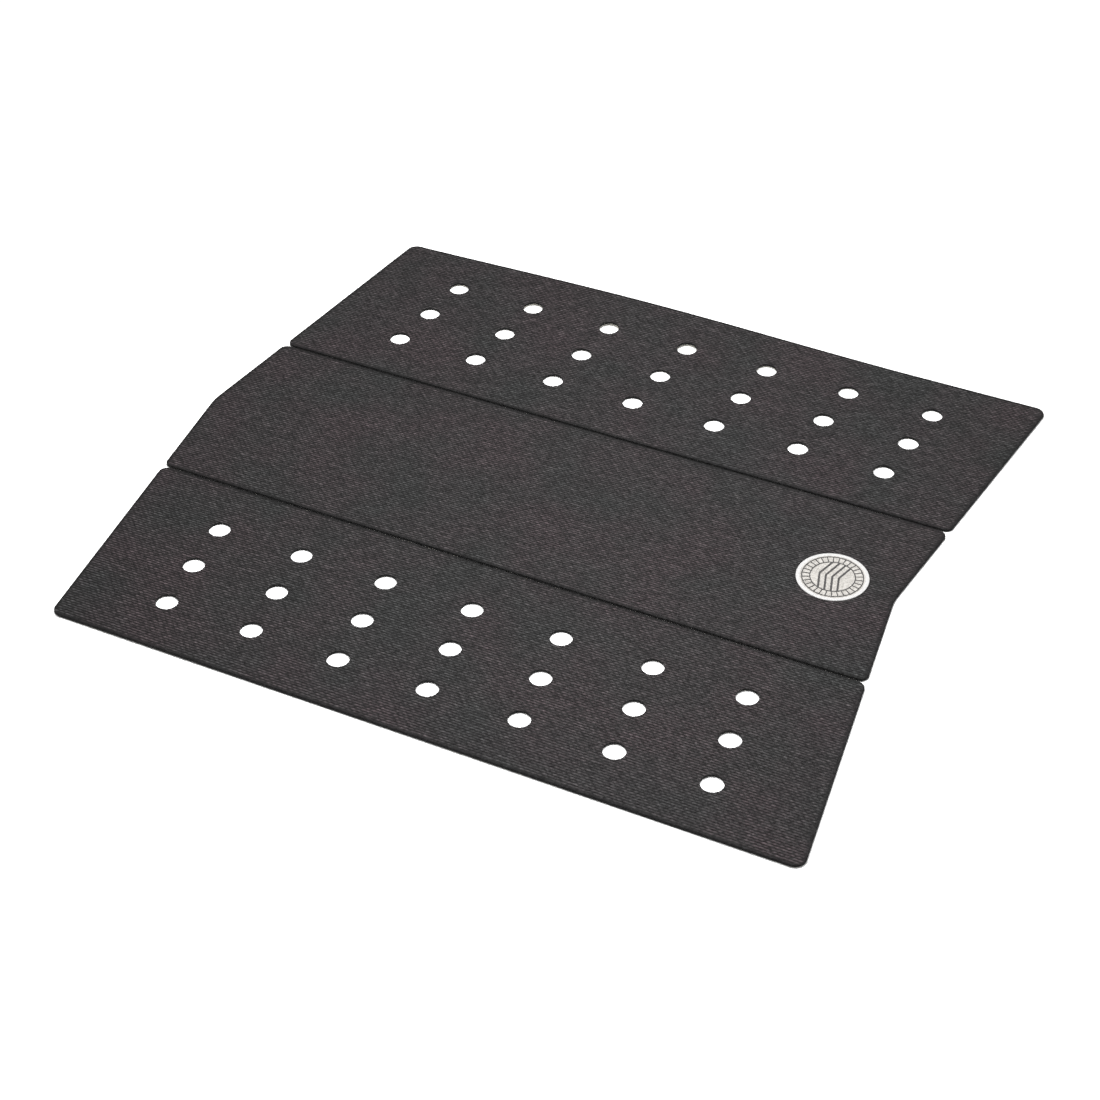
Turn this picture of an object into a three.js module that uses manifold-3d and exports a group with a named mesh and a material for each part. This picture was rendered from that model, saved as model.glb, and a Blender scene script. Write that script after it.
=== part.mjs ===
// Three-piece deck traction pad: three thin foam panels laid side by side, forming a shallow chevron.
// Each panel is a stack, from the bottom up: release liner, adhesive film, foam. The two side panels are
// punched with a slanted grid of drain holes, and the centre panel carries a round badge in a pocket.
// Millimetres, +Z up, +X towards the notched end, which carries the badge. The left panel is on the -Y side.

import * as THREE from 'three';
import { mergeVertices } from 'three/addons/utils/BufferGeometryUtils.js';
import Module from 'manifold-3d';

const wasm = await Module();
wasm.setup();

// ---- driving dimensions ----

const PANEL_LENGTH = 406.5;        // along X, the same on every line parallel to X
const CENTRE_WIDTH = 128.4;
const SIDE_WIDTH = 128;
const SEAM_GAP = 1.4;              // between two panels
const END_SLOPE = Math.tan(THREE.MathUtils.degToRad(7.1));   // how far the ends sweep back per mm off centre

const OUTER_CORNER_RADIUS = 6;
const SEAM_CORNER_RADIUS = 4.5;
const CHEVRON_TIP_RADIUS = 35;     // on the point and in the notch of the centre panel
const CORNER_STEPS = 4;

const LINER_THICKNESS = 0.15;
const FILM_THICKNESS = 0.15;
const FOAM_THICKNESS = 1.5;

const HOLE_RADIUS = 5.8;
const HOLE_STEPS = 16;
const HOLE_COLUMNS = 7;
const HOLE_ROWS = 3;
const HOLE_PITCH_X = 50;
const HOLE_PITCH_Y = 30.9;
const HOLE_SHIFT_X = 3.6;          // each row lies this much further towards +X than the row inside it
const FIRST_ROW_FROM_SEAM = 34;    // from a side panel's inner edge to its first row

const BADGE_FROM_NOTCH = 34.8;     // from the notch's vertex to the badge's centre
const BADGE_OFFSET_Y = 3.5;
const BADGE_RADIUS = 19;
const BADGE_THICKNESS = 0.8;
const BADGE_FILM_THICKNESS = 0.1;
const BADGE_FILM_INSET = 0.3;
const BADGE_STEPS = 48;
const POCKET_DEPTH = 0.8;
const POCKET_CLEARANCE = 0.3;

const PRINT_THICKNESS = 0.1;
const PRINT_OUTER_RADIUS = 16.2;
const PRINT_RING_WIDTH = 0.55;
const PRINT_INNER_RADIUS = 12;
const TICK_COUNT = 30;
const TICK_WIDTH = 0.5;
const CHEVRON_WIDTH = 1.1;
const CHEVRON_RISE = 3.4;          // from the tip to the arms' ends, along X
const CHEVRON_TIPS = [-7.1, -3.6, -0.1, 3.4];

// ---- what follows from them ----

const CENTRE_HALF = CENTRE_WIDTH / 2;
const SIDE_INNER = CENTRE_HALF + SEAM_GAP;
const SIDE_OUTER = SIDE_INNER + SIDE_WIDTH;
const POINT_X = -(PANEL_LENGTH + SIDE_OUTER * END_SLOPE) / 2;
const NOTCH_X = POINT_X + PANEL_LENGTH;
const MIDDLE_X = (POINT_X + NOTCH_X) / 2;

const FILM_Z = LINER_THICKNESS;
const FOAM_Z = FILM_Z + FILM_THICKNESS;
const FOAM_TOP_Z = FOAM_Z + FOAM_THICKNESS;
const POCKET_Z = FOAM_TOP_Z - POCKET_DEPTH;
const BADGE_Z = POCKET_Z + BADGE_FILM_THICKNESS;
const PRINT_Z = BADGE_Z + BADGE_THICKNESS;
const BADGE_X = NOTCH_X - BADGE_FROM_NOTCH;

const FIRST_ROW_Y = SIDE_INNER + FIRST_ROW_FROM_SEAM;
const MIDDLE_ROW_Y = FIRST_ROW_Y + HOLE_PITCH_Y * (HOLE_ROWS - 1) / 2;
const MIDDLE_ROW_X = MIDDLE_X + MIDDLE_ROW_Y * END_SLOPE;    // the grid is centred on the panel

// ---- materials ----

const foam = new THREE.MeshStandardMaterial({ color: 0x3a3939, roughness: 0.95, metalness: 0 });
const film = new THREE.MeshStandardMaterial({ color: 0x3f3e3c, roughness: 0.25, metalness: 0 });
const liner = new THREE.MeshStandardMaterial({ color: 0xe8e4d6, roughness: 0.6, metalness: 0 });
const badge = new THREE.MeshStandardMaterial({ color: 0xe9e9e6, roughness: 0.5, metalness: 0 });
const print = new THREE.MeshStandardMaterial({ color: 0x1c1c1d, roughness: 0.6, metalness: 0 });

// ---- helpers ----

function arc(x, y, radius, from, to, steps) {
  return Array.from({ length: steps + 1 }, (_, i) => {
    const angle = from + (to - from) * i / steps;
    return new THREE.Vector2(x + radius * Math.cos(angle), y + radius * Math.sin(angle));
  });
}

function circle(x, y, radius, steps) {
  return arc(x, y, radius, 0, 2 * Math.PI, steps).slice(0, steps);
}

// A closed outline through corners [x, y, radius], each corner replaced by an arc of its radius.
function roundedOutline(corners) {
  return corners.flatMap(([x, y, radius], i) => {
    const corner = new THREE.Vector2(x, y);
    const before = new THREE.Vector2(...corners.at(i - 1)).sub(corner).normalize();
    const after = new THREE.Vector2(...corners[(i + 1) % corners.length]).sub(corner).normalize();
    const halfAngle = Math.acos(before.dot(after)) / 2;
    const toCentre = before.clone().add(after).normalize().multiplyScalar(radius / Math.sin(halfAngle));
    const centre = corner.clone().add(toCentre);
    const legs = radius / Math.tan(halfAngle);
    const start = corner.clone().addScaledVector(before, legs).sub(centre).angle();
    const end = corner.clone().addScaledVector(after, legs).sub(centre).angle();
    const turn = Math.atan2(Math.sin(end - start), Math.cos(end - start));
    return arc(centre.x, centre.y, radius, start, start + turn, CORNER_STEPS);
  });
}

function sheet(outline, holes, bottom, thickness) {
  const shape = new THREE.Shape(outline);
  shape.holes = holes.map((points) => new THREE.Path(points));
  const geometry = new THREE.ExtrudeGeometry(shape, { depth: thickness, bevelEnabled: false });
  geometry.translate(0, 0, bottom);
  return geometry;
}

function toSolid(geometry) {
  const bare = geometry.clone();
  bare.deleteAttribute('normal');
  bare.deleteAttribute('uv');
  const merged = mergeVertices(bare);
  return new wasm.Manifold(new wasm.Mesh({
    numProp: 3,
    vertProperties: new Float32Array(merged.attributes.position.array),
    triVerts: new Uint32Array(merged.index.array),
  }));
}

function fromSolid(solid) {
  const mesh = solid.getMesh();
  const geometry = new THREE.BufferGeometry();
  geometry.setAttribute('position', new THREE.BufferAttribute(mesh.vertProperties, mesh.numProp));
  geometry.setIndex(new THREE.BufferAttribute(mesh.triVerts, 1));
  geometry.computeVertexNormals();
  return geometry;
}

function piece(name, geometry, material) {
  const mesh = new THREE.Mesh(geometry, material);
  mesh.name = name;
  return mesh;
}

// ---- outlines in plan ----

// A side panel is a parallelogram. side is -1 for the left panel and 1 for the right one.
function sideOutline(side) {
  const corner = (startX, offset, radius) => [startX + offset * END_SLOPE, side * offset, radius];
  const corners = [
    corner(POINT_X, SIDE_OUTER, OUTER_CORNER_RADIUS),
    corner(NOTCH_X, SIDE_OUTER, OUTER_CORNER_RADIUS),
    corner(NOTCH_X, SIDE_INNER, SEAM_CORNER_RADIUS),
    corner(POINT_X, SIDE_INNER, SEAM_CORNER_RADIUS),
  ];
  return roundedOutline(side < 0 ? corners : corners.reverse());
}

function sideHoles(side) {
  const holes = [];
  for (let row = 0; row < HOLE_ROWS; row++) {
    for (let column = 0; column < HOLE_COLUMNS; column++) {
      const x = MIDDLE_ROW_X
        + (column - (HOLE_COLUMNS - 1) / 2) * HOLE_PITCH_X
        + (row - (HOLE_ROWS - 1) / 2) * HOLE_SHIFT_X;
      const y = side * (FIRST_ROW_Y + row * HOLE_PITCH_Y);
      holes.push(circle(x, y, HOLE_RADIUS, HOLE_STEPS));
    }
  }
  return holes;
}

// The centre panel has a point at one end and a matching notch at the other.
function centreOutline() {
  const sweep = CENTRE_HALF * END_SLOPE;
  return roundedOutline([
    [POINT_X + sweep, -CENTRE_HALF, SEAM_CORNER_RADIUS],
    [NOTCH_X + sweep, -CENTRE_HALF, SEAM_CORNER_RADIUS],
    [NOTCH_X, 0, CHEVRON_TIP_RADIUS],
    [NOTCH_X + sweep, CENTRE_HALF, SEAM_CORNER_RADIUS],
    [POINT_X + sweep, CENTRE_HALF, SEAM_CORNER_RADIUS],
    [POINT_X, 0, CHEVRON_TIP_RADIUS],
  ]);
}

// ---- the panels ----

function panelStack(name, outline, holes, foamGeometry) {
  return [
    piece(`${name}_liner`, sheet(outline, holes, 0, LINER_THICKNESS), liner),
    piece(`${name}_adhesive`, sheet(outline, holes, FILM_Z, FILM_THICKNESS), film),
    piece(`${name}_foam`, foamGeometry, foam),
  ];
}

function sidePanel(name, side) {
  const outline = sideOutline(side);
  const holes = sideHoles(side);
  return panelStack(name, outline, holes, sheet(outline, holes, FOAM_Z, FOAM_THICKNESS));
}

// A round pocket in the top of the foam holds the badge.
function centrePanel() {
  const outline = centreOutline();
  const rim = circle(BADGE_X, BADGE_OFFSET_Y, BADGE_RADIUS + POCKET_CLEARANCE, BADGE_STEPS);
  const pocket = toSolid(sheet(rim, [], POCKET_Z, 2 * POCKET_DEPTH));
  const slab = toSolid(sheet(outline, [], FOAM_Z, FOAM_THICKNESS));
  return panelStack('centre', outline, [], fromSolid(slab.subtract(pocket)));
}

// ---- the badge ----

// The dark pattern is one piece: two rings joined by ticks, with nested chevrons across the inner ring.
function ring(outerRadius) {
  const outline = circle(0, 0, outerRadius, BADGE_STEPS);
  const hole = circle(0, 0, outerRadius - PRINT_RING_WIDTH, BADGE_STEPS);
  return toSolid(sheet(outline, [hole], 0, PRINT_THICKNESS));
}

function ticks() {
  const inner = PRINT_INNER_RADIUS - PRINT_RING_WIDTH / 2;
  const outer = PRINT_OUTER_RADIUS - PRINT_RING_WIDTH / 2;
  return Array.from({ length: TICK_COUNT }, (_, i) => {
    const bar = new THREE.BoxGeometry(outer - inner, TICK_WIDTH, PRINT_THICKNESS);
    bar.translate((inner + outer) / 2, 0, PRINT_THICKNESS / 2);
    bar.rotateZ(2 * Math.PI * i / TICK_COUNT);
    return toSolid(bar);
  });
}

function chevron(tipX) {
  const reach = PRINT_INNER_RADIUS;
  const half = CHEVRON_WIDTH / 2;
  const armX = tipX + CHEVRON_RISE;
  const outline = [
    new THREE.Vector2(tipX - half, 0),
    new THREE.Vector2(armX - half, -reach),
    new THREE.Vector2(armX + half, -reach),
    new THREE.Vector2(tipX + half, 0),
    new THREE.Vector2(armX + half, reach),
    new THREE.Vector2(armX - half, reach),
  ];
  const field = circle(0, 0, PRINT_INNER_RADIUS - PRINT_RING_WIDTH / 2, BADGE_STEPS);
  const bounds = toSolid(sheet(field, [], 0, PRINT_THICKNESS));
  return toSolid(sheet(outline, [], 0, PRINT_THICKNESS)).intersect(bounds);
}

function badgePattern() {
  const parts = [ring(PRINT_OUTER_RADIUS), ring(PRINT_INNER_RADIUS), ...ticks(), ...CHEVRON_TIPS.map(chevron)];
  const geometry = fromSolid(parts.reduce((whole, part) => whole.add(part)));
  geometry.translate(BADGE_X, BADGE_OFFSET_Y, PRINT_Z);
  return geometry;
}

function badgePieces() {
  const face = circle(BADGE_X, BADGE_OFFSET_Y, BADGE_RADIUS, BADGE_STEPS);
  const back = circle(BADGE_X, BADGE_OFFSET_Y, BADGE_RADIUS - BADGE_FILM_INSET, BADGE_STEPS);
  return [
    piece('badge_adhesive', sheet(back, [], POCKET_Z, BADGE_FILM_THICKNESS), film),
    piece('badge_disc', sheet(face, [], BADGE_Z, BADGE_THICKNESS), badge),
    piece('badge_pattern', badgePattern(), print),
  ];
}

// ---- the assembly, with its origin under the middle of its box ----

const group = new THREE.Group();
group.add(...sidePanel('left', -1), ...centrePanel(), ...sidePanel('right', 1), ...badgePieces());
const box = new THREE.Box3().setFromObject(group);
group.position.x = -(box.min.x + box.max.x) / 2;

export default group;
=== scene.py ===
"""Looks for a three-piece foam deck traction pad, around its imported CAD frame. Metres, +Z up."""

import math

import bpy
import numpy as np
from mathutils import Matrix, Vector


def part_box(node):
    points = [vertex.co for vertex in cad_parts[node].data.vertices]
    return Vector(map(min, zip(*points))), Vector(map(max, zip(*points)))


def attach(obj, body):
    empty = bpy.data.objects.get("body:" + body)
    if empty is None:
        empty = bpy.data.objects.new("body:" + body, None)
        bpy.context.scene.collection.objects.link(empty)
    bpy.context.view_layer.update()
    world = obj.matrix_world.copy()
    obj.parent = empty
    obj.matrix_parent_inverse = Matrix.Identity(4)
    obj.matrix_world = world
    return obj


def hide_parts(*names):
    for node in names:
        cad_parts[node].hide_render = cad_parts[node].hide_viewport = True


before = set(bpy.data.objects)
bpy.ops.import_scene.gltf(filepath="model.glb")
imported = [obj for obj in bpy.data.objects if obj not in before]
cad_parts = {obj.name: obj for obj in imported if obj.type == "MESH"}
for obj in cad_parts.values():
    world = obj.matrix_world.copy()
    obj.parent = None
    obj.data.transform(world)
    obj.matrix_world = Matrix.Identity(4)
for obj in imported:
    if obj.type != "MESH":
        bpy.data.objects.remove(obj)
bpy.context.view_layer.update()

MM = 0.001

# ---- driving dimensions, as in the CAD ----

PANEL_LENGTH = 406.5 * MM
END_SLOPE = math.tan(math.radians(7.1))
OUTER_CORNER_RADIUS = 6 * MM
SEAM_CORNER_RADIUS = 4.5 * MM
CHEVRON_TIP_RADIUS = 35 * MM
HOLE_RADIUS = 5.8 * MM
HOLE_COLUMNS = 7
HOLE_ROWS = 3
HOLE_PITCH_X = 50 * MM
HOLE_PITCH_Y = 30.9 * MM
HOLE_SHIFT_X = 3.6 * MM
FIRST_ROW_FROM_SEAM = 34 * MM

# ---- the foam's moulded top and cut edges ----

RIB_PITCH = 1.6 * MM
RIB_DEPTH = 0.38 * MM
RIB_PROFILE = (0.0, 0.8, 1.0, 0.8)   # a valley, then a rib's shoulder, crest and shoulder
BEAD_PITCH = 3.2 * MM
BEAD_DIP = 0.35                      # share of a rib's height that it loses between two beads
BEAD_VARIATION = 0.28                # share by which one bead's height differs from the next
PLAIN_BORDER = 1.4 * MM              # the ribs run out over this width, beside the cut outline
CROWN_DROP = 0.15 * MM               # how far the top falls off towards the outline
CROWN_WIDTH = 2.4 * MM               # and over what width it does so
PAINTED_BORDER_SHADE = 0.10                  # painted shade along the outline, for dark seams: what is left there of the crests' painted highlight
RIM_FILLET = 0.35 * MM
FILLET_STEPS = 4
HASH_PER_BEAD = 127.1                # the usual sine hash, which makes each bead's height its own
HASH_PER_RIB = 311.7
HASH_GAIN = 43758.5453

# ---- film, liner and cutting ----

SHEET_INSET = 0.4 * MM               # how far the film and liner stop short of the foam's cut edge
OVERRUN = 1 * MM                     # how far a cutter reaches past what it cuts
OUTLINE_STEPS = 14                   # per rounded corner
HOLE_STEPS = 56
COARSE_CELL = 7 * MM                 # of flat faces, which only follow the panels' slight rise

# ---- edges sharper than this, in degrees, aren't shaded smooth ----

FOAM_SHARP_EDGE = 58
SHEET_SHARP_EDGE = 40
BADGE_SHARP_EDGE = 45

SIDES = {"left": -1, "right": 1}


# ---- outlines in plan ----

def arc(centre, radius, start, turn, steps):
    angles = [start + turn * i / steps for i in range(steps + 1)]
    return [(centre.x + radius * math.cos(a), centre.y + radius * math.sin(a)) for a in angles]


def circle(x, y, radius, steps):
    return arc(Vector((x, y)), radius, 0.0, 2 * math.pi, steps)[:-1]


def rounded_outline(corners, inset):
    """A counterclockwise outline through (x, y, radius) corners, moved inwards by inset."""
    points = []
    for i, (x, y, radius) in enumerate(corners):
        corner = Vector((x, y))
        before = (Vector(corners[i - 1][:2]) - corner).normalized()
        after = (Vector(corners[(i + 1) % len(corners)][:2]) - corner).normalized()
        half_angle = before.angle(after) / 2
        centre = corner + (before + after).normalized() * (radius / math.sin(half_angle))
        leg = radius / math.tan(half_angle)
        first = corner + before * leg - centre
        last = corner + after * leg - centre
        start = math.atan2(first.y, first.x)
        turn = math.atan2(first.x * last.y - first.y * last.x, first.dot(last))
        moved_radius = radius - inset if turn > 0 else radius + inset
        points += arc(centre, moved_radius, start, turn, OUTLINE_STEPS)
    return points


CENTRE_LOW, CENTRE_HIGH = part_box("centre_foam")
TIP_SETBACK = CHEVRON_TIP_RADIUS * (1 / math.cos(math.atan(END_SLOPE)) - 1)
POINT_X = CENTRE_LOW.x - TIP_SETBACK
NOTCH_X = POINT_X + PANEL_LENGTH


def panel_corners(name):
    if name == "centre":
        half = CENTRE_HIGH.y
        sweep = half * END_SLOPE
        return [
            (POINT_X + sweep, -half, SEAM_CORNER_RADIUS),
            (NOTCH_X + sweep, -half, SEAM_CORNER_RADIUS),
            (NOTCH_X, 0.0, CHEVRON_TIP_RADIUS),
            (NOTCH_X + sweep, half, SEAM_CORNER_RADIUS),
            (POINT_X + sweep, half, SEAM_CORNER_RADIUS),
            (POINT_X, 0.0, CHEVRON_TIP_RADIUS),
        ]
    low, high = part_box(name + "_foam")
    corners = []
    for y, ends in ((low.y, (POINT_X, NOTCH_X)), (high.y, (NOTCH_X, POINT_X))):
        outer = abs(y) > abs(low.y + high.y) / 2
        radius = OUTER_CORNER_RADIUS if outer else SEAM_CORNER_RADIUS
        corners += [(x + abs(y) * END_SLOPE, y, radius) for x in ends]
    return corners


def panel_holes(name):
    """The centres of a panel's drain holes."""
    if name == "centre":
        return []
    side = SIDES[name]
    low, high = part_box(name + "_foam")
    first_y = min(abs(low.y), abs(high.y)) + FIRST_ROW_FROM_SEAM
    middle_y = first_y + HOLE_PITCH_Y * (HOLE_ROWS - 1) / 2
    middle_x = (POINT_X + NOTCH_X) / 2 + middle_y * END_SLOPE
    centres = []
    for row in range(HOLE_ROWS):
        row_x = middle_x + (row - (HOLE_ROWS - 1) / 2) * HOLE_SHIFT_X
        row_y = side * (first_y + row * HOLE_PITCH_Y)
        for column in range(HOLE_COLUMNS):
            centres.append((row_x + (column - (HOLE_COLUMNS - 1) / 2) * HOLE_PITCH_X, row_y))
    return centres


# ---- how the panels lie: nearly flat, with the right one's outer edge slightly lifted ----

LIFT_HEIGHT = 3.4 * MM
LIFT_CENTRE_X = -40 * MM
LIFT_SPREAD_X = 112 * MM
LIFT_REACH_Y = 75 * MM
WAVE_HEIGHT = 0.1 * MM
WAVE_LENGTH = 190 * MM


def rise(name, x, y):
    """How far the stack of sheets stands off the floor at (x, y), for arrays of x and y."""
    wave_number = 2 * math.pi / WAVE_LENGTH
    wave = WAVE_HEIGHT * (1 + np.sin(wave_number * x) * np.cos(wave_number * y))
    if name != "right":
        return wave
    outer_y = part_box("right_foam")[1].y
    near_edge = np.clip(1 - (outer_y - y) / LIFT_REACH_Y, 0, 1) ** 2
    along = np.exp(-(((x - LIFT_CENTRE_X) / LIFT_SPREAD_X) ** 2))
    return wave + LIFT_HEIGHT * near_edge * along


# ---- mesh helpers ----

def new_object(name, vertices, faces):
    mesh = bpy.data.meshes.new(name)
    mesh.from_pydata([tuple(v) for v in vertices], [], faces)
    mesh.update()
    piece = bpy.data.objects.new(name, mesh)
    bpy.context.scene.collection.objects.link(piece)
    return piece


def columns(name, stacks):
    """Closed upright solids in one mesh, each a stack of (z, outline) levels of matching points."""
    vertices = []
    faces = []
    for stack in stacks:
        size = len(stack[0][1])
        for level, (z, outline) in enumerate(stack):
            base = len(vertices)
            vertices += [(x, y, z) for x, y in outline]
            ring = list(range(base, base + size))
            if level == 0:
                faces.append(ring[::-1])
            else:
                faces += [(a - size, b - size, b, a) for a, b in zip(ring, ring[1:] + ring[:1])]
        faces.append(ring)
    return new_object(name, vertices, faces)


def grid_faces(across, along, first, upward):
    """The faces of a grid of across x along points, numbered row by row from first."""
    faces = []
    for j in range(along - 1):
        for i in range(across - 1):
            a = first + j * across + i
            face = (a, a + 1, a + across + 1, a + across)
            faces.append(face if upward else face[::-1])
    return faces


def border(across, along, first):
    """The grid's four sides as lists of vertex numbers, counterclockwise from the lowest corner."""
    south = [first + i for i in range(across)]
    east = [first + j * across + across - 1 for j in range(along)]
    north = [first + (along - 1) * across + i for i in reversed(range(across))]
    west = [first + j * across for j in reversed(range(along))]
    return south, east, north, west


def slab(name, xs, ys, top, coarse_xs, coarse_ys, bottom_z):
    """A closed block: a fine top, top[j, i] high over (xs[i], ys[j]), and a coarse flat bottom."""
    fine = np.stack([*np.meshgrid(xs, ys), top], axis=-1).reshape(-1, 3)
    flat_x, flat_y = np.meshgrid(coarse_xs, coarse_ys)
    coarse = np.stack([flat_x, flat_y, np.full_like(flat_x, bottom_z)], axis=-1).reshape(-1, 3)
    first = len(fine)
    faces = grid_faces(len(xs), len(ys), 0, True)
    faces += grid_faces(len(coarse_xs), len(coarse_ys), first, False)
    above = border(len(xs), len(ys), 0)
    below = border(len(coarse_xs), len(coarse_ys), first)
    faces += [tuple(low + high[::-1]) for low, high in zip(below, above)]
    return new_object(name, np.vstack([fine, coarse]), faces)


def boolean(target, tool, operation):
    """Applies a Boolean to target at once, and uses up the tool."""
    modifier = target.modifiers.new("cut", "BOOLEAN")
    modifier.operation = operation
    modifier.solver = "MANIFOLD"
    modifier.object = tool
    evaluated = target.evaluated_get(bpy.context.evaluated_depsgraph_get())
    result = bpy.data.meshes.new_from_object(evaluated)
    result.name = target.name
    target.modifiers.clear()
    target.data = result
    bpy.data.objects.remove(tool)
    return target


def coordinates(piece):
    co = np.zeros(len(piece.data.vertices) * 3)
    piece.data.vertices.foreach_get("co", co)
    return co.reshape(-1, 3)


def store_attribute(piece, name, values):
    attribute = piece.data.attributes.new(name, "FLOAT", "POINT")
    attribute.data.foreach_set("value", np.asarray(values, np.float32))


def lay_down(piece, name):
    """Moves a sheet's points up by the rise of the panel it belongs to."""
    co = coordinates(piece)
    co[:, 2] += rise(name, co[:, 0], co[:, 1])
    piece.data.vertices.foreach_set("co", co.ravel())
    piece.data.update()


def smooth(piece, degrees):
    piece.data.shade_smooth()
    piece.data.set_sharp_from_angle(angle=math.radians(degrees))


# ---- the foam panels ----

def spaced(low, high, step):
    return np.linspace(low, high, max(2, round((high - low) / step) + 1))


def rib_heights(xs, ys, rows_low):
    """The moulded top, as a share of full height: ribs along X, made of staggered uneven beads."""
    phase = np.round((ys - rows_low) / (RIB_PITCH / len(RIB_PROFILE))).astype(int)
    rib = phase // len(RIB_PROFILE)
    profile = np.array(RIB_PROFILE)[phase % len(RIB_PROFILE)]
    half_bead = np.arange(len(xs))
    between = (half_bead[None, :] + rib[:, None]) % 2
    bead = (half_bead[None, :] + rib[:, None]) // 2
    hashed = np.sin(bead * HASH_PER_BEAD + rib[:, None] * HASH_PER_RIB) * HASH_GAIN
    uneven = hashed - np.floor(hashed)
    height = 1 - BEAD_DIP * between - BEAD_VARIATION * uneven
    return profile[:, None] * height


def outline_distance(name, x, y):
    """Distance in plan from each point to the nearest of its panel's sides, holes left out."""
    corners = panel_corners(name)
    nearest = np.full(x.shape, np.inf)
    for i, (ax, ay, _) in enumerate(corners):
        bx, by, _ = corners[(i + 1) % len(corners)]
        ux, uy = bx - ax, by - ay
        t = np.clip(((x - ax) * ux + (y - ay) * uy) / (ux * ux + uy * uy), 0, 1)
        nearest = np.minimum(nearest, np.hypot(x - ax - t * ux, y - ay - t * uy))
    return nearest


def ease(t):
    t = np.clip(t, 0, 1)
    return t * t * (3 - 2 * t)


def fillet(radius):
    """(drop, inset) of the points along a quarter round, from its foot to its top."""
    angles = [math.pi / 2 * step / FILLET_STEPS for step in range(FILLET_STEPS + 1)]
    return [(radius * (1 - math.sin(angle)), radius * (1 - math.cos(angle))) for angle in angles]


def rim(top_z, low_z):
    """(z, inset) levels of a cut edge: upright, then rounded over at the top."""
    rounded = [(top_z - drop, inset) for drop, inset in fillet(RIM_FILLET)]
    return [(low_z - OVERRUN, 0.0), *rounded, (top_z + OVERRUN, RIM_FILLET)]


def cut_out(sheet, name, edge_levels, hole_levels):
    """Trims a sheet to its panel's outline and drills its holes, by (z, inset) levels upwards."""
    outline = [(z, rounded_outline(panel_corners(name), inset)) for z, inset in edge_levels]
    boolean(sheet, columns("trimmer", [outline]), "INTERSECT")
    drills = [
        [(z, circle(x, y, HOLE_RADIUS + inset, HOLE_STEPS)) for z, inset in hole_levels]
        for x, y in panel_holes(name)
    ]
    if drills:
        boolean(sheet, columns("drills", drills), "DIFFERENCE")
    return sheet


def foam_panel(name):
    low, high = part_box(name + "_foam")
    margin = 2 * RIB_PITCH
    rows = math.ceil((high.y - low.y + 2 * margin) / RIB_PITCH) * len(RIB_PROFILE)
    ys = low.y - margin + np.arange(rows + 1) * RIB_PITCH / len(RIB_PROFILE)
    xs = np.arange(low.x - margin, high.x + margin, BEAD_PITCH / 2)
    inward = outline_distance(name, *np.meshgrid(xs, ys))
    relief = (1 - rib_heights(xs, ys, ys[0])) * ease((inward - PLAIN_BORDER / 2) / PLAIN_BORDER)
    crown = CROWN_DROP * (1 - ease(inward / CROWN_WIDTH))
    top = high.z - RIB_DEPTH * relief - crown
    top[[0, -1], :] = high.z
    top[:, [0, -1]] = high.z
    coarse_xs = spaced(xs[0], xs[-1], COARSE_CELL)
    coarse_ys = spaced(ys[0], ys[-1], COARSE_CELL)
    panel = slab(name + "_foam_panel", xs, ys, top, coarse_xs, coarse_ys, low.z)
    return cut_out(panel, name, rim(high.z - CROWN_DROP, low.z), rim(high.z, low.z))


def finish_foam(panel, name):
    """Marks the ribs' crests for a painted highlight and their valleys for painted shade, darkest
    along the outline, then lays the panel down.
    """
    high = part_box(name + "_foam")[1]
    co = coordinates(panel)
    crest = np.clip((co[:, 2] - high.z + RIB_DEPTH) / RIB_DEPTH, 0, 1)
    inward = outline_distance(name, co[:, 0], co[:, 1])
    # painted shade: the crests' painted highlight is cut down along the cut outline, so the seams
    # and edges look dark
    crest *= PAINTED_BORDER_SHADE + (1 - PAINTED_BORDER_SHADE) * ease(inward / CROWN_WIDTH)
    store_attribute(panel, "crest", crest)
    lay_down(panel, name)
    smooth(panel, FOAM_SHARP_EDGE)


# ---- the film and liner under each panel ----

def thin_sheet(name, layer):
    low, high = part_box(f"{name}_{layer}")
    xs = spaced(low.x - OVERRUN, high.x + OVERRUN, COARSE_CELL)
    ys = spaced(low.y - OVERRUN, high.y + OVERRUN, COARSE_CELL)
    top = np.full((len(ys), len(xs)), high.z)
    sheet = slab(f"{name}_{layer}_sheet", xs, ys, top, xs, ys, low.z)
    upright = [(low.z - OVERRUN, SHEET_INSET), (high.z + OVERRUN, SHEET_INSET)]
    cut_out(sheet, name, upright, upright)
    lay_down(sheet, name)
    smooth(sheet, SHEET_SHARP_EDGE)
    return sheet


# ---- the badge ----

BADGE_LOW, BADGE_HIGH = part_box("badge_disc")
BADGE_CENTRE = (BADGE_LOW + BADGE_HIGH) / 2
BADGE_RADIUS = (BADGE_HIGH.x - BADGE_LOW.x) / 2
BADGE_SEGMENTS = 128
BADGE_EDGE = 0.12 * MM               # size of the disc's bevels
BADGE_DISH = 0.06 * MM               # the disc's field lies this far below its rim
POCKET_CLEARANCE = 0.3 * MM
POCKET_LIP = 0.25 * MM
PATTERN_RADIUS = 16.2 * MM
FIELD_RADIUS = PATTERN_RADIUS + 0.6 * MM
RIM_INNER_RADIUS = PATTERN_RADIUS + 0.9 * MM
INLAY_RADIUS = PATTERN_RADIUS + 0.7 * MM  # the speckled colour ends here, on the rim's slope
PATTERN_INNER_RADIUS = 12 * MM
PATTERN_RING_WIDTH = 0.55 * MM
TICK_COUNT = 30
TICK_WIDTH = 0.5 * MM
CHEVRON_WIDTH = 1.1 * MM
CHEVRON_RISE = 3.4 * MM
CHEVRON_TIPS = (-7.1 * MM, -3.6 * MM, -0.1 * MM, 3.4 * MM)


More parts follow.
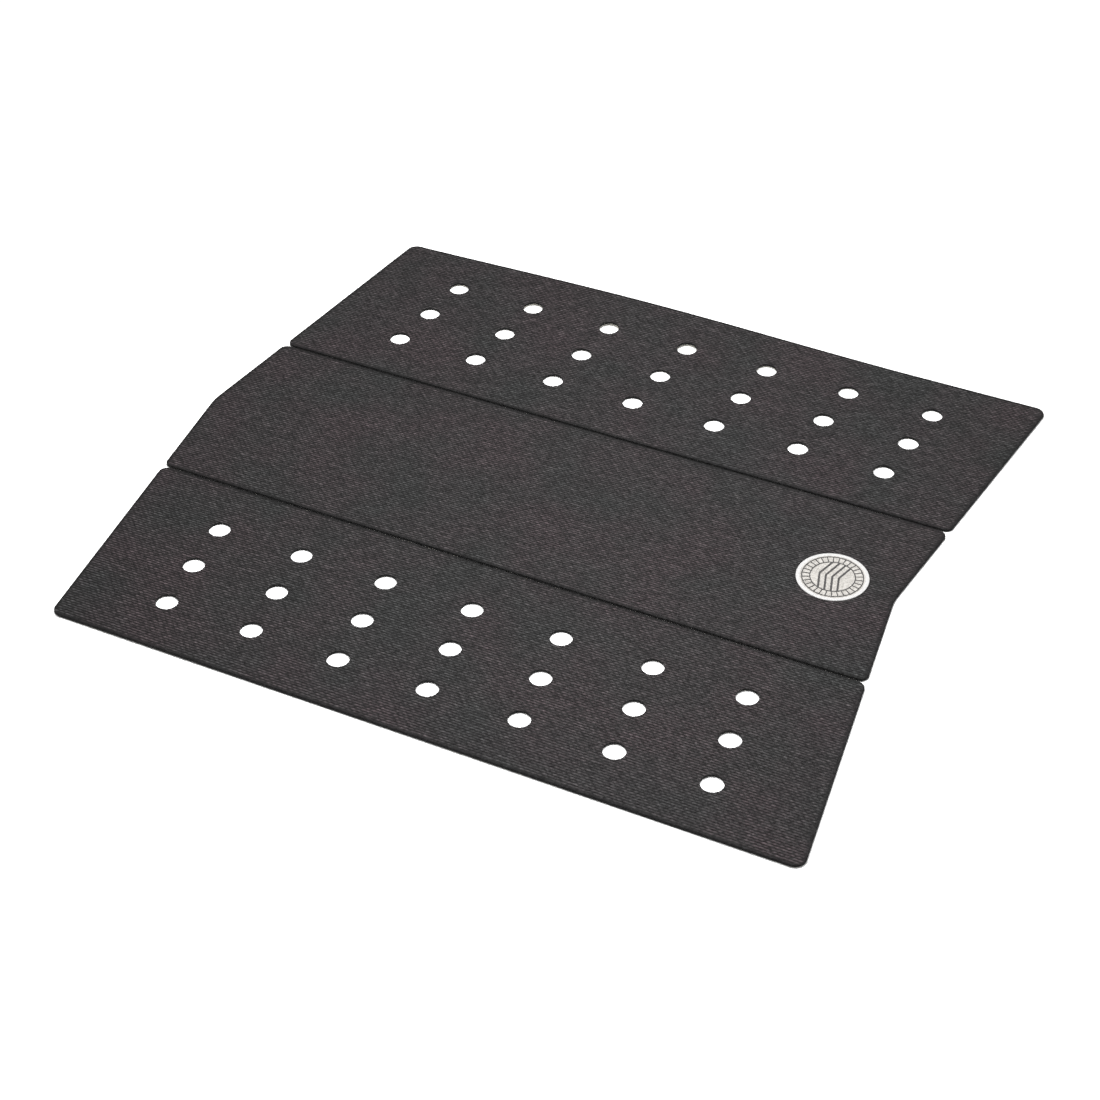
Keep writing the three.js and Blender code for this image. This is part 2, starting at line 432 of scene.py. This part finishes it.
def lathe(name, profile, centre):
    """A solid of revolution; profile is (radius, z), from the axis below to the axis above."""
    inner = profile[1:-1]
    vertices = [(centre.x, centre.y, profile[0][1]), (centre.x, centre.y, profile[-1][1])]
    for radius, z in inner:
        vertices += [(x, y, z) for x, y in circle(centre.x, centre.y, radius, BADGE_SEGMENTS)]
    faces = []
    for i in range(BADGE_SEGMENTS):
        j = (i + 1) % BADGE_SEGMENTS
        faces.append((0, 2 + j, 2 + i))
        for ring in range(len(inner) - 1):
            a, b = 2 + ring * BADGE_SEGMENTS, 2 + (ring + 1) * BADGE_SEGMENTS
            faces.append((a + i, a + j, b + j, b + i))
        last = 2 + (len(inner) - 1) * BADGE_SEGMENTS
        faces.append((1, last + i, last + j))
    return new_object(name, vertices, faces)


def badge_disc():
    low, high = BADGE_LOW.z, BADGE_HIGH.z
    profile = [
        (0, low),
        (BADGE_RADIUS - BADGE_EDGE, low),
        (BADGE_RADIUS, low + BADGE_EDGE),
        (BADGE_RADIUS, high - 2 * BADGE_EDGE),
        (BADGE_RADIUS - 0.3 * BADGE_EDGE, high - 0.9 * BADGE_EDGE),
        (BADGE_RADIUS - BADGE_EDGE, high - 0.25 * BADGE_EDGE),
        (BADGE_RADIUS - 2 * BADGE_EDGE, high),
        (RIM_INNER_RADIUS, high),
        (FIELD_RADIUS, high - BADGE_DISH),
        (PATTERN_INNER_RADIUS, high - BADGE_DISH),
        (PATTERN_INNER_RADIUS / 2, high - BADGE_DISH),
        (0, high - BADGE_DISH),
    ]
    return lathe("badge_face", profile, BADGE_CENTRE)


def badge_film_disc():
    low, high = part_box("badge_adhesive")
    radius = BADGE_RADIUS - POCKET_CLEARANCE
    profile = [(0, low.z), (radius, low.z), (radius, high.z), (0, high.z)]
    return lathe("badge_film", profile, BADGE_CENTRE)


def cut_pocket(panel):
    """The round pocket in the centre panel, with a softly rounded lip."""
    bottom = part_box("badge_adhesive")[0].z
    top = CENTRE_HIGH.z
    radius = BADGE_RADIUS + POCKET_CLEARANCE
    lip = [(top - drop, wider) for drop, wider in fillet(POCKET_LIP)]
    pocket = [
        (z, circle(BADGE_CENTRE.x, BADGE_CENTRE.y, radius + wider, BADGE_SEGMENTS))
        for z, wider in [(bottom, 0.0), *lip, (top + OVERRUN, POCKET_LIP)]
    ]
    boolean(panel, columns("pocket", [pocket]), "DIFFERENCE")


def badge_pattern():
    """A generic dial: two rings joined by ticks, with nested chevrons across the inner ring."""
    low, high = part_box("badge_pattern")
    foot = low.z - BADGE_DISH

    def raised(points, overrun=0.0):
        outline = [(BADGE_CENTRE.x + px, BADGE_CENTRE.y + py) for px, py in points]
        return columns("pattern_part", [[(foot - overrun, outline), (high.z + overrun, outline)]])

    def ring(radius):
        bore = raised(circle(0, 0, radius - PATTERN_RING_WIDTH, BADGE_SEGMENTS), OVERRUN)
        return boolean(raised(circle(0, 0, radius, BADGE_SEGMENTS)), bore, "DIFFERENCE")

    def tick(i):
        turn = 2 * math.pi * i / TICK_COUNT
        near = PATTERN_INNER_RADIUS - PATTERN_RING_WIDTH / 2
        far = PATTERN_RADIUS - PATTERN_RING_WIDTH / 2
        half = TICK_WIDTH / 2
        corners = [(near, -half), (far, -half), (far, half), (near, half)]
        c, s = math.cos(turn), math.sin(turn)
        return raised([(c * u - s * v, s * u + c * v) for u, v in corners])

    def chevron(tip):
        reach = PATTERN_INNER_RADIUS
        half = CHEVRON_WIDTH / 2
        arm = tip + CHEVRON_RISE
        bar = raised([
            (tip - half, 0),
            (arm - half, -reach),
            (arm + half, -reach),
            (tip + half, 0),
            (arm + half, reach),
            (arm - half, reach),
        ])
        field = circle(0, 0, PATTERN_INNER_RADIUS - PATTERN_RING_WIDTH / 2, BADGE_SEGMENTS)
        return boolean(bar, raised(field, OVERRUN), "INTERSECT")

    pattern = ring(PATTERN_RADIUS)
    pattern.name = "badge_lines"
    parts = [ring(PATTERN_INNER_RADIUS)]
    parts += [tick(i) for i in range(TICK_COUNT)]
    parts += [chevron(tip) for tip in CHEVRON_TIPS]
    for part in parts:
        boolean(pattern, part, "UNION")
    return pattern


# ---- materials ----

def material(name):
    made = bpy.data.materials.new(name)
    made.use_nodes = True
    nodes = made.node_tree.nodes
    return made, nodes, made.node_tree.links, nodes["Principled BSDF"]


def noise_at(nodes, links, source, scale, detail, roughness=0.5):
    texture = nodes.new("ShaderNodeTexNoise")
    texture.inputs["Scale"].default_value = scale
    texture.inputs["Detail"].default_value = detail
    texture.inputs["Roughness"].default_value = roughness
    links.new(source, texture.inputs["Vector"])
    return texture.outputs["Fac"]


def ramp(nodes, links, source, stops):
    made = nodes.new("ShaderNodeValToRGB")
    made.color_ramp.elements[0].position, made.color_ramp.elements[0].color = stops[0]
    made.color_ramp.elements[1].position, made.color_ramp.elements[1].color = stops[-1]
    for position, colour in stops[1:-1]:
        made.color_ramp.elements.new(position).color = colour
    links.new(source, made.inputs["Fac"])
    return made.outputs["Color"]


def blend_colours(nodes, links, kind, amount, first, second):
    made = nodes.new("ShaderNodeMix")
    made.data_type = "RGBA"
    made.blend_type = kind
    for socket, value in (("Factor", amount), ("A", first), ("B", second)):
        target = next(s for s in made.inputs if s.name == socket and s.enabled)
        if isinstance(value, bpy.types.NodeSocket):
            links.new(value, target)
        else:
            target.default_value = value
    return next(s for s in made.outputs if s.enabled)


def bump(nodes, links, height, strength, distance, before=None):
    made = nodes.new("ShaderNodeBump")
    made.inputs["Strength"].default_value = strength
    made.inputs["Distance"].default_value = distance
    links.new(height, made.inputs["Height"])
    if before is not None:
        links.new(before, made.inputs["Normal"])
    return made.outputs["Normal"]


def rgb(red, green, blue):
    return (red, green, blue, 1.0)


def grey(value):
    return rgb(value, value, value)


def stretched(nodes, links, place, along, across):
    """Object coordinates scaled so that a texture's features are drawn out along the ribs."""
    made = nodes.new("ShaderNodeMapping")
    made.inputs["Scale"].default_value = (along, across, across)
    links.new(place, made.inputs["Vector"])
    return made.outputs["Vector"]


def foam_material():
    made, nodes, links, shader = material("black_eva_foam")
    place = nodes.new("ShaderNodeTexCoord").outputs["Object"]
    mottle = noise_at(nodes, links, place, scale=18, detail=3)
    black_to_brown = [(0.36, grey(0.0192)), (0.64, rgb(0.0264, 0.0204, 0.0219))]
    colour = ramp(nodes, links, mottle, black_to_brown)
    drawn_out = stretched(nodes, links, place, along=0.6, across=1.2)
    dashes = noise_at(nodes, links, drawn_out, scale=560, detail=3, roughness=0.75)
    streaks = ramp(nodes, links, dashes, [(0.35, grey(0.45)), (0.5, grey(0.95)), (0.65, grey(1.8))])
    colour = blend_colours(nodes, links, "MULTIPLY", 1.0, colour, streaks)
    crest = nodes.new("ShaderNodeAttribute")
    crest.attribute_name = "crest"
    # painted shade in the rib valleys and painted highlight on the crests, taken from the crest
    # mark
    valley_to_crest = [(0.0, grey(0.1)), (0.4, grey(0.4)), (1.0, grey(2.4))]
    crest_highlight_and_valley_shade = ramp(nodes, links, crest.outputs["Fac"], valley_to_crest)
    colour = blend_colours(nodes, links, "MULTIPLY", 1.0, colour, crest_highlight_and_valley_shade)
    links.new(colour, shader.inputs["Base Color"])
    fine = noise_at(nodes, links, place, scale=900, detail=3, roughness=0.7)
    roughness = ramp(nodes, links, fine, [(0.35, grey(0.45)), (0.65, grey(0.85))])
    links.new(roughness, shader.inputs["Roughness"])
    cells = nodes.new("ShaderNodeTexVoronoi")
    cells.inputs["Scale"].default_value = 1500
    links.new(place, cells.inputs["Vector"])
    skin = bump(nodes, links, cells.outputs["Distance"], strength=0.7, distance=0.12 * MM)
    grain = bump(nodes, links, dashes, strength=0.8, distance=0.5 * MM, before=skin)
    links.new(grain, shader.inputs["Normal"])
    shader.inputs["Specular IOR Level"].default_value = 0.15
    return made


def film_material():
    """Clear film, which looks dark because the black foam shows through it."""
    made, nodes, links, shader = material("adhesive_film")
    place = nodes.new("ShaderNodeTexCoord").outputs["Object"]
    cloud = noise_at(nodes, links, place, scale=60, detail=4)
    tints = [(0.3, rgb(0.034, 0.033, 0.032)), (0.7, rgb(0.062, 0.060, 0.056))]
    colour = ramp(nodes, links, cloud, tints)
    links.new(colour, shader.inputs["Base Color"])
    tack = noise_at(nodes, links, place, scale=900, detail=2)
    roughness = ramp(nodes, links, tack, [(0.3, grey(0.16)), (0.7, grey(0.34))])
    links.new(roughness, shader.inputs["Roughness"])
    uneven = bump(nodes, links, tack, strength=0.3, distance=0.03 * MM)
    links.new(uneven, shader.inputs["Normal"])
    return made


def liner_material():
    made, nodes, links, shader = material("release_liner")
    place = nodes.new("ShaderNodeTexCoord").outputs["Object"]
    pulp = noise_at(nodes, links, place, scale=420, detail=5, roughness=0.7)
    colour = ramp(nodes, links, pulp, [(0.3, rgb(0.70, 0.67, 0.58)), (0.7, rgb(0.80, 0.77, 0.69))])
    links.new(colour, shader.inputs["Base Color"])
    cloud = noise_at(nodes, links, place, scale=35, detail=3)
    roughness = ramp(nodes, links, cloud, [(0.3, grey(0.45)), (0.7, grey(0.6))])
    links.new(roughness, shader.inputs["Roughness"])
    fibres = bump(nodes, links, pulp, strength=0.25, distance=0.03 * MM)
    links.new(fibres, shader.inputs["Normal"])
    return made


def badge_material():
    made, nodes, links, shader = material("badge_light_rubber")
    place = nodes.new("ShaderNodeTexCoord").outputs["Object"]
    speckle = noise_at(nodes, links, place, scale=900, detail=4, roughness=0.8)
    field_tints = [(0.33, rgb(0.20, 0.188, 0.172)), (0.6, rgb(0.43, 0.412, 0.385))]
    rim_tints = [(0.3, rgb(0.38, 0.375, 0.37)), (0.7, rgb(0.50, 0.495, 0.49))]
    field_colour = ramp(nodes, links, speckle, field_tints)
    rim_colour = ramp(nodes, links, speckle, rim_tints)
    inlay = nodes.new("ShaderNodeAttribute")
    inlay.attribute_name = "inlay"
    colour = blend_colours(nodes, links, "MIX", inlay.outputs["Fac"], rim_colour, field_colour)
    links.new(colour, shader.inputs["Base Color"])
    grain = noise_at(nodes, links, place, scale=3200, detail=2)
    pitted = bump(nodes, links, grain, strength=0.25, distance=0.03 * MM)
    links.new(pitted, shader.inputs["Normal"])
    roughness = ramp(nodes, links, grain, [(0.3, grey(0.42)), (0.7, grey(0.6))])
    links.new(roughness, shader.inputs["Roughness"])
    return made


def pattern_material():
    made, nodes, links, shader = material("badge_dark_rubber")
    place = nodes.new("ShaderNodeTexCoord").outputs["Object"]
    grain = noise_at(nodes, links, place, scale=1400, detail=3)
    tints = [(0.3, rgb(0.012, 0.011, 0.011)), (0.75, rgb(0.035, 0.032, 0.031))]
    links.new(ramp(nodes, links, grain, tints), shader.inputs["Base Color"])
    pitted = bump(nodes, links, grain, strength=0.3, distance=0.03 * MM)
    links.new(pitted, shader.inputs["Normal"])
    shader.inputs["Roughness"].default_value = 0.55
    return made


# ---- assembly ----

def dress(piece, look, body, slot, *nodes):
    """Gives a piece its material, and says what it rides on and which CAD nodes it replaces."""
    piece.data.materials.clear()
    piece.data.materials.append(look)
    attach(piece, body)
    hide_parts(*nodes)


foam_look = foam_material()
film_look = film_material()
liner_look = liner_material()

for panel_name in ("left", "centre", "right"):
    foam = foam_panel(panel_name)
    if panel_name == "centre":
        cut_pocket(foam)
    finish_foam(foam, panel_name)
    dress(foam, foam_look, panel_name + "_panel", "black_foam", panel_name + "_foam")
    film = thin_sheet(panel_name, "adhesive")
    dress(film, film_look, panel_name + "_panel", "adhesive_film", panel_name + "_adhesive")
    liner = thin_sheet(panel_name, "liner")
    dress(liner, liner_look, panel_name + "_liner", "release_liner", panel_name + "_liner")

disc = badge_disc()
disc_x, disc_y, _ = coordinates(disc).T
from_centre = np.hypot(disc_x - BADGE_CENTRE.x, disc_y - BADGE_CENTRE.y)
store_attribute(disc, "inlay", from_centre < INLAY_RADIUS)
lay_down(disc, "centre")
smooth(disc, BADGE_SHARP_EDGE)
dress(disc, badge_material(), "centre_panel", "badge_light", "badge_disc")

pattern = badge_pattern()
lay_down(pattern, "centre")
smooth(pattern, BADGE_SHARP_EDGE)
dress(pattern, pattern_material(), "centre_panel", "badge_dark", "badge_pattern")

badge_film = badge_film_disc()
lay_down(badge_film, "centre")
dress(badge_film, film_look, "centre_panel", "adhesive_film", "badge_adhesive")


# ---- floor, light and camera ----

FLOOR_REACH = 6.0
WORLD_STRENGTH = 0.42


def floor():
    signs = ((-1, -1), (1, -1), (1, 1), (-1, 1))
    corners = [(FLOOR_REACH * x, FLOOR_REACH * y, 0) for x, y in signs]
    plane = new_object("floor", corners, [(0, 1, 2, 3)])
    look, _, _, shader = material("pale_floor")
    shader.inputs["Base Color"].default_value = grey(0.96)
    shader.inputs["Roughness"].default_value = 0.9
    shader.inputs["Specular IOR Level"].default_value = 0.1
    plane.data.materials.append(look)


def softbox(name, location, size, power):
    """A square area light that points at the origin."""
    data = bpy.data.lights.new(name, "AREA")
    data.shape = "SQUARE"
    data.size = size
    data.energy = power
    light = bpy.data.objects.new(name, data)
    bpy.context.scene.collection.objects.link(light)
    light.location = location
    light.rotation_mode = "QUATERNION"
    to_origin = Vector((0, 0, 0)) - Vector(location)
    light.rotation_quaternion = to_origin.to_track_quat("-Z", "Y")


def studio():
    softbox("back", (-0.25, 1.25, 1.0), size=0.8, power=6)
    softbox("top", (-0.03, 0.0, 0.75), size=0.45, power=10)
    softbox("front", (0.3, -1.7, 0.75), size=0.9, power=3)
    world = bpy.data.worlds.new("studio")
    world.use_nodes = True
    background = world.node_tree.nodes["Background"]
    background.inputs["Color"].default_value = grey(1.0)
    background.inputs["Strength"].default_value = WORLD_STRENGTH
    bpy.context.scene.world = world
    bpy.context.scene.view_settings.view_transform = "Standard"


# The photo's viewpoint: the camera's place over the middle of the foam's top, and its three axes.
# Sensor and focal length are in millimetres.
CAMERA_OVER_TOP = Vector((0.41781, -0.87460, 0.75975))
CAMERA_RIGHT = Vector((0.9013, 0.4332, -0.0008))
CAMERA_UP = Vector((-0.2741, 0.5718, 0.7732))
CAMERA_BACK = Vector((0.3354, -0.6967, 0.6341))
SENSOR = 36.0
FOCAL_LENGTH = 75.0


def camera():
    data = bpy.data.cameras.new("camera")
    data.sensor_width = SENSOR
    data.lens = FOCAL_LENGTH
    data.clip_start = 0.05
    data.clip_end = 50
    eye = bpy.data.objects.new("camera", data)
    bpy.context.scene.collection.objects.link(eye)
    turn = Matrix((CAMERA_RIGHT, CAMERA_UP, CAMERA_BACK)).transposed()
    eye.rotation_mode = "QUATERNION"
    eye.rotation_quaternion = turn.to_quaternion()
    eye.location = CAMERA_OVER_TOP + Vector((0, 0, CENTRE_HIGH.z))
    bpy.context.scene.camera = eye


floor()
studio()
camera()
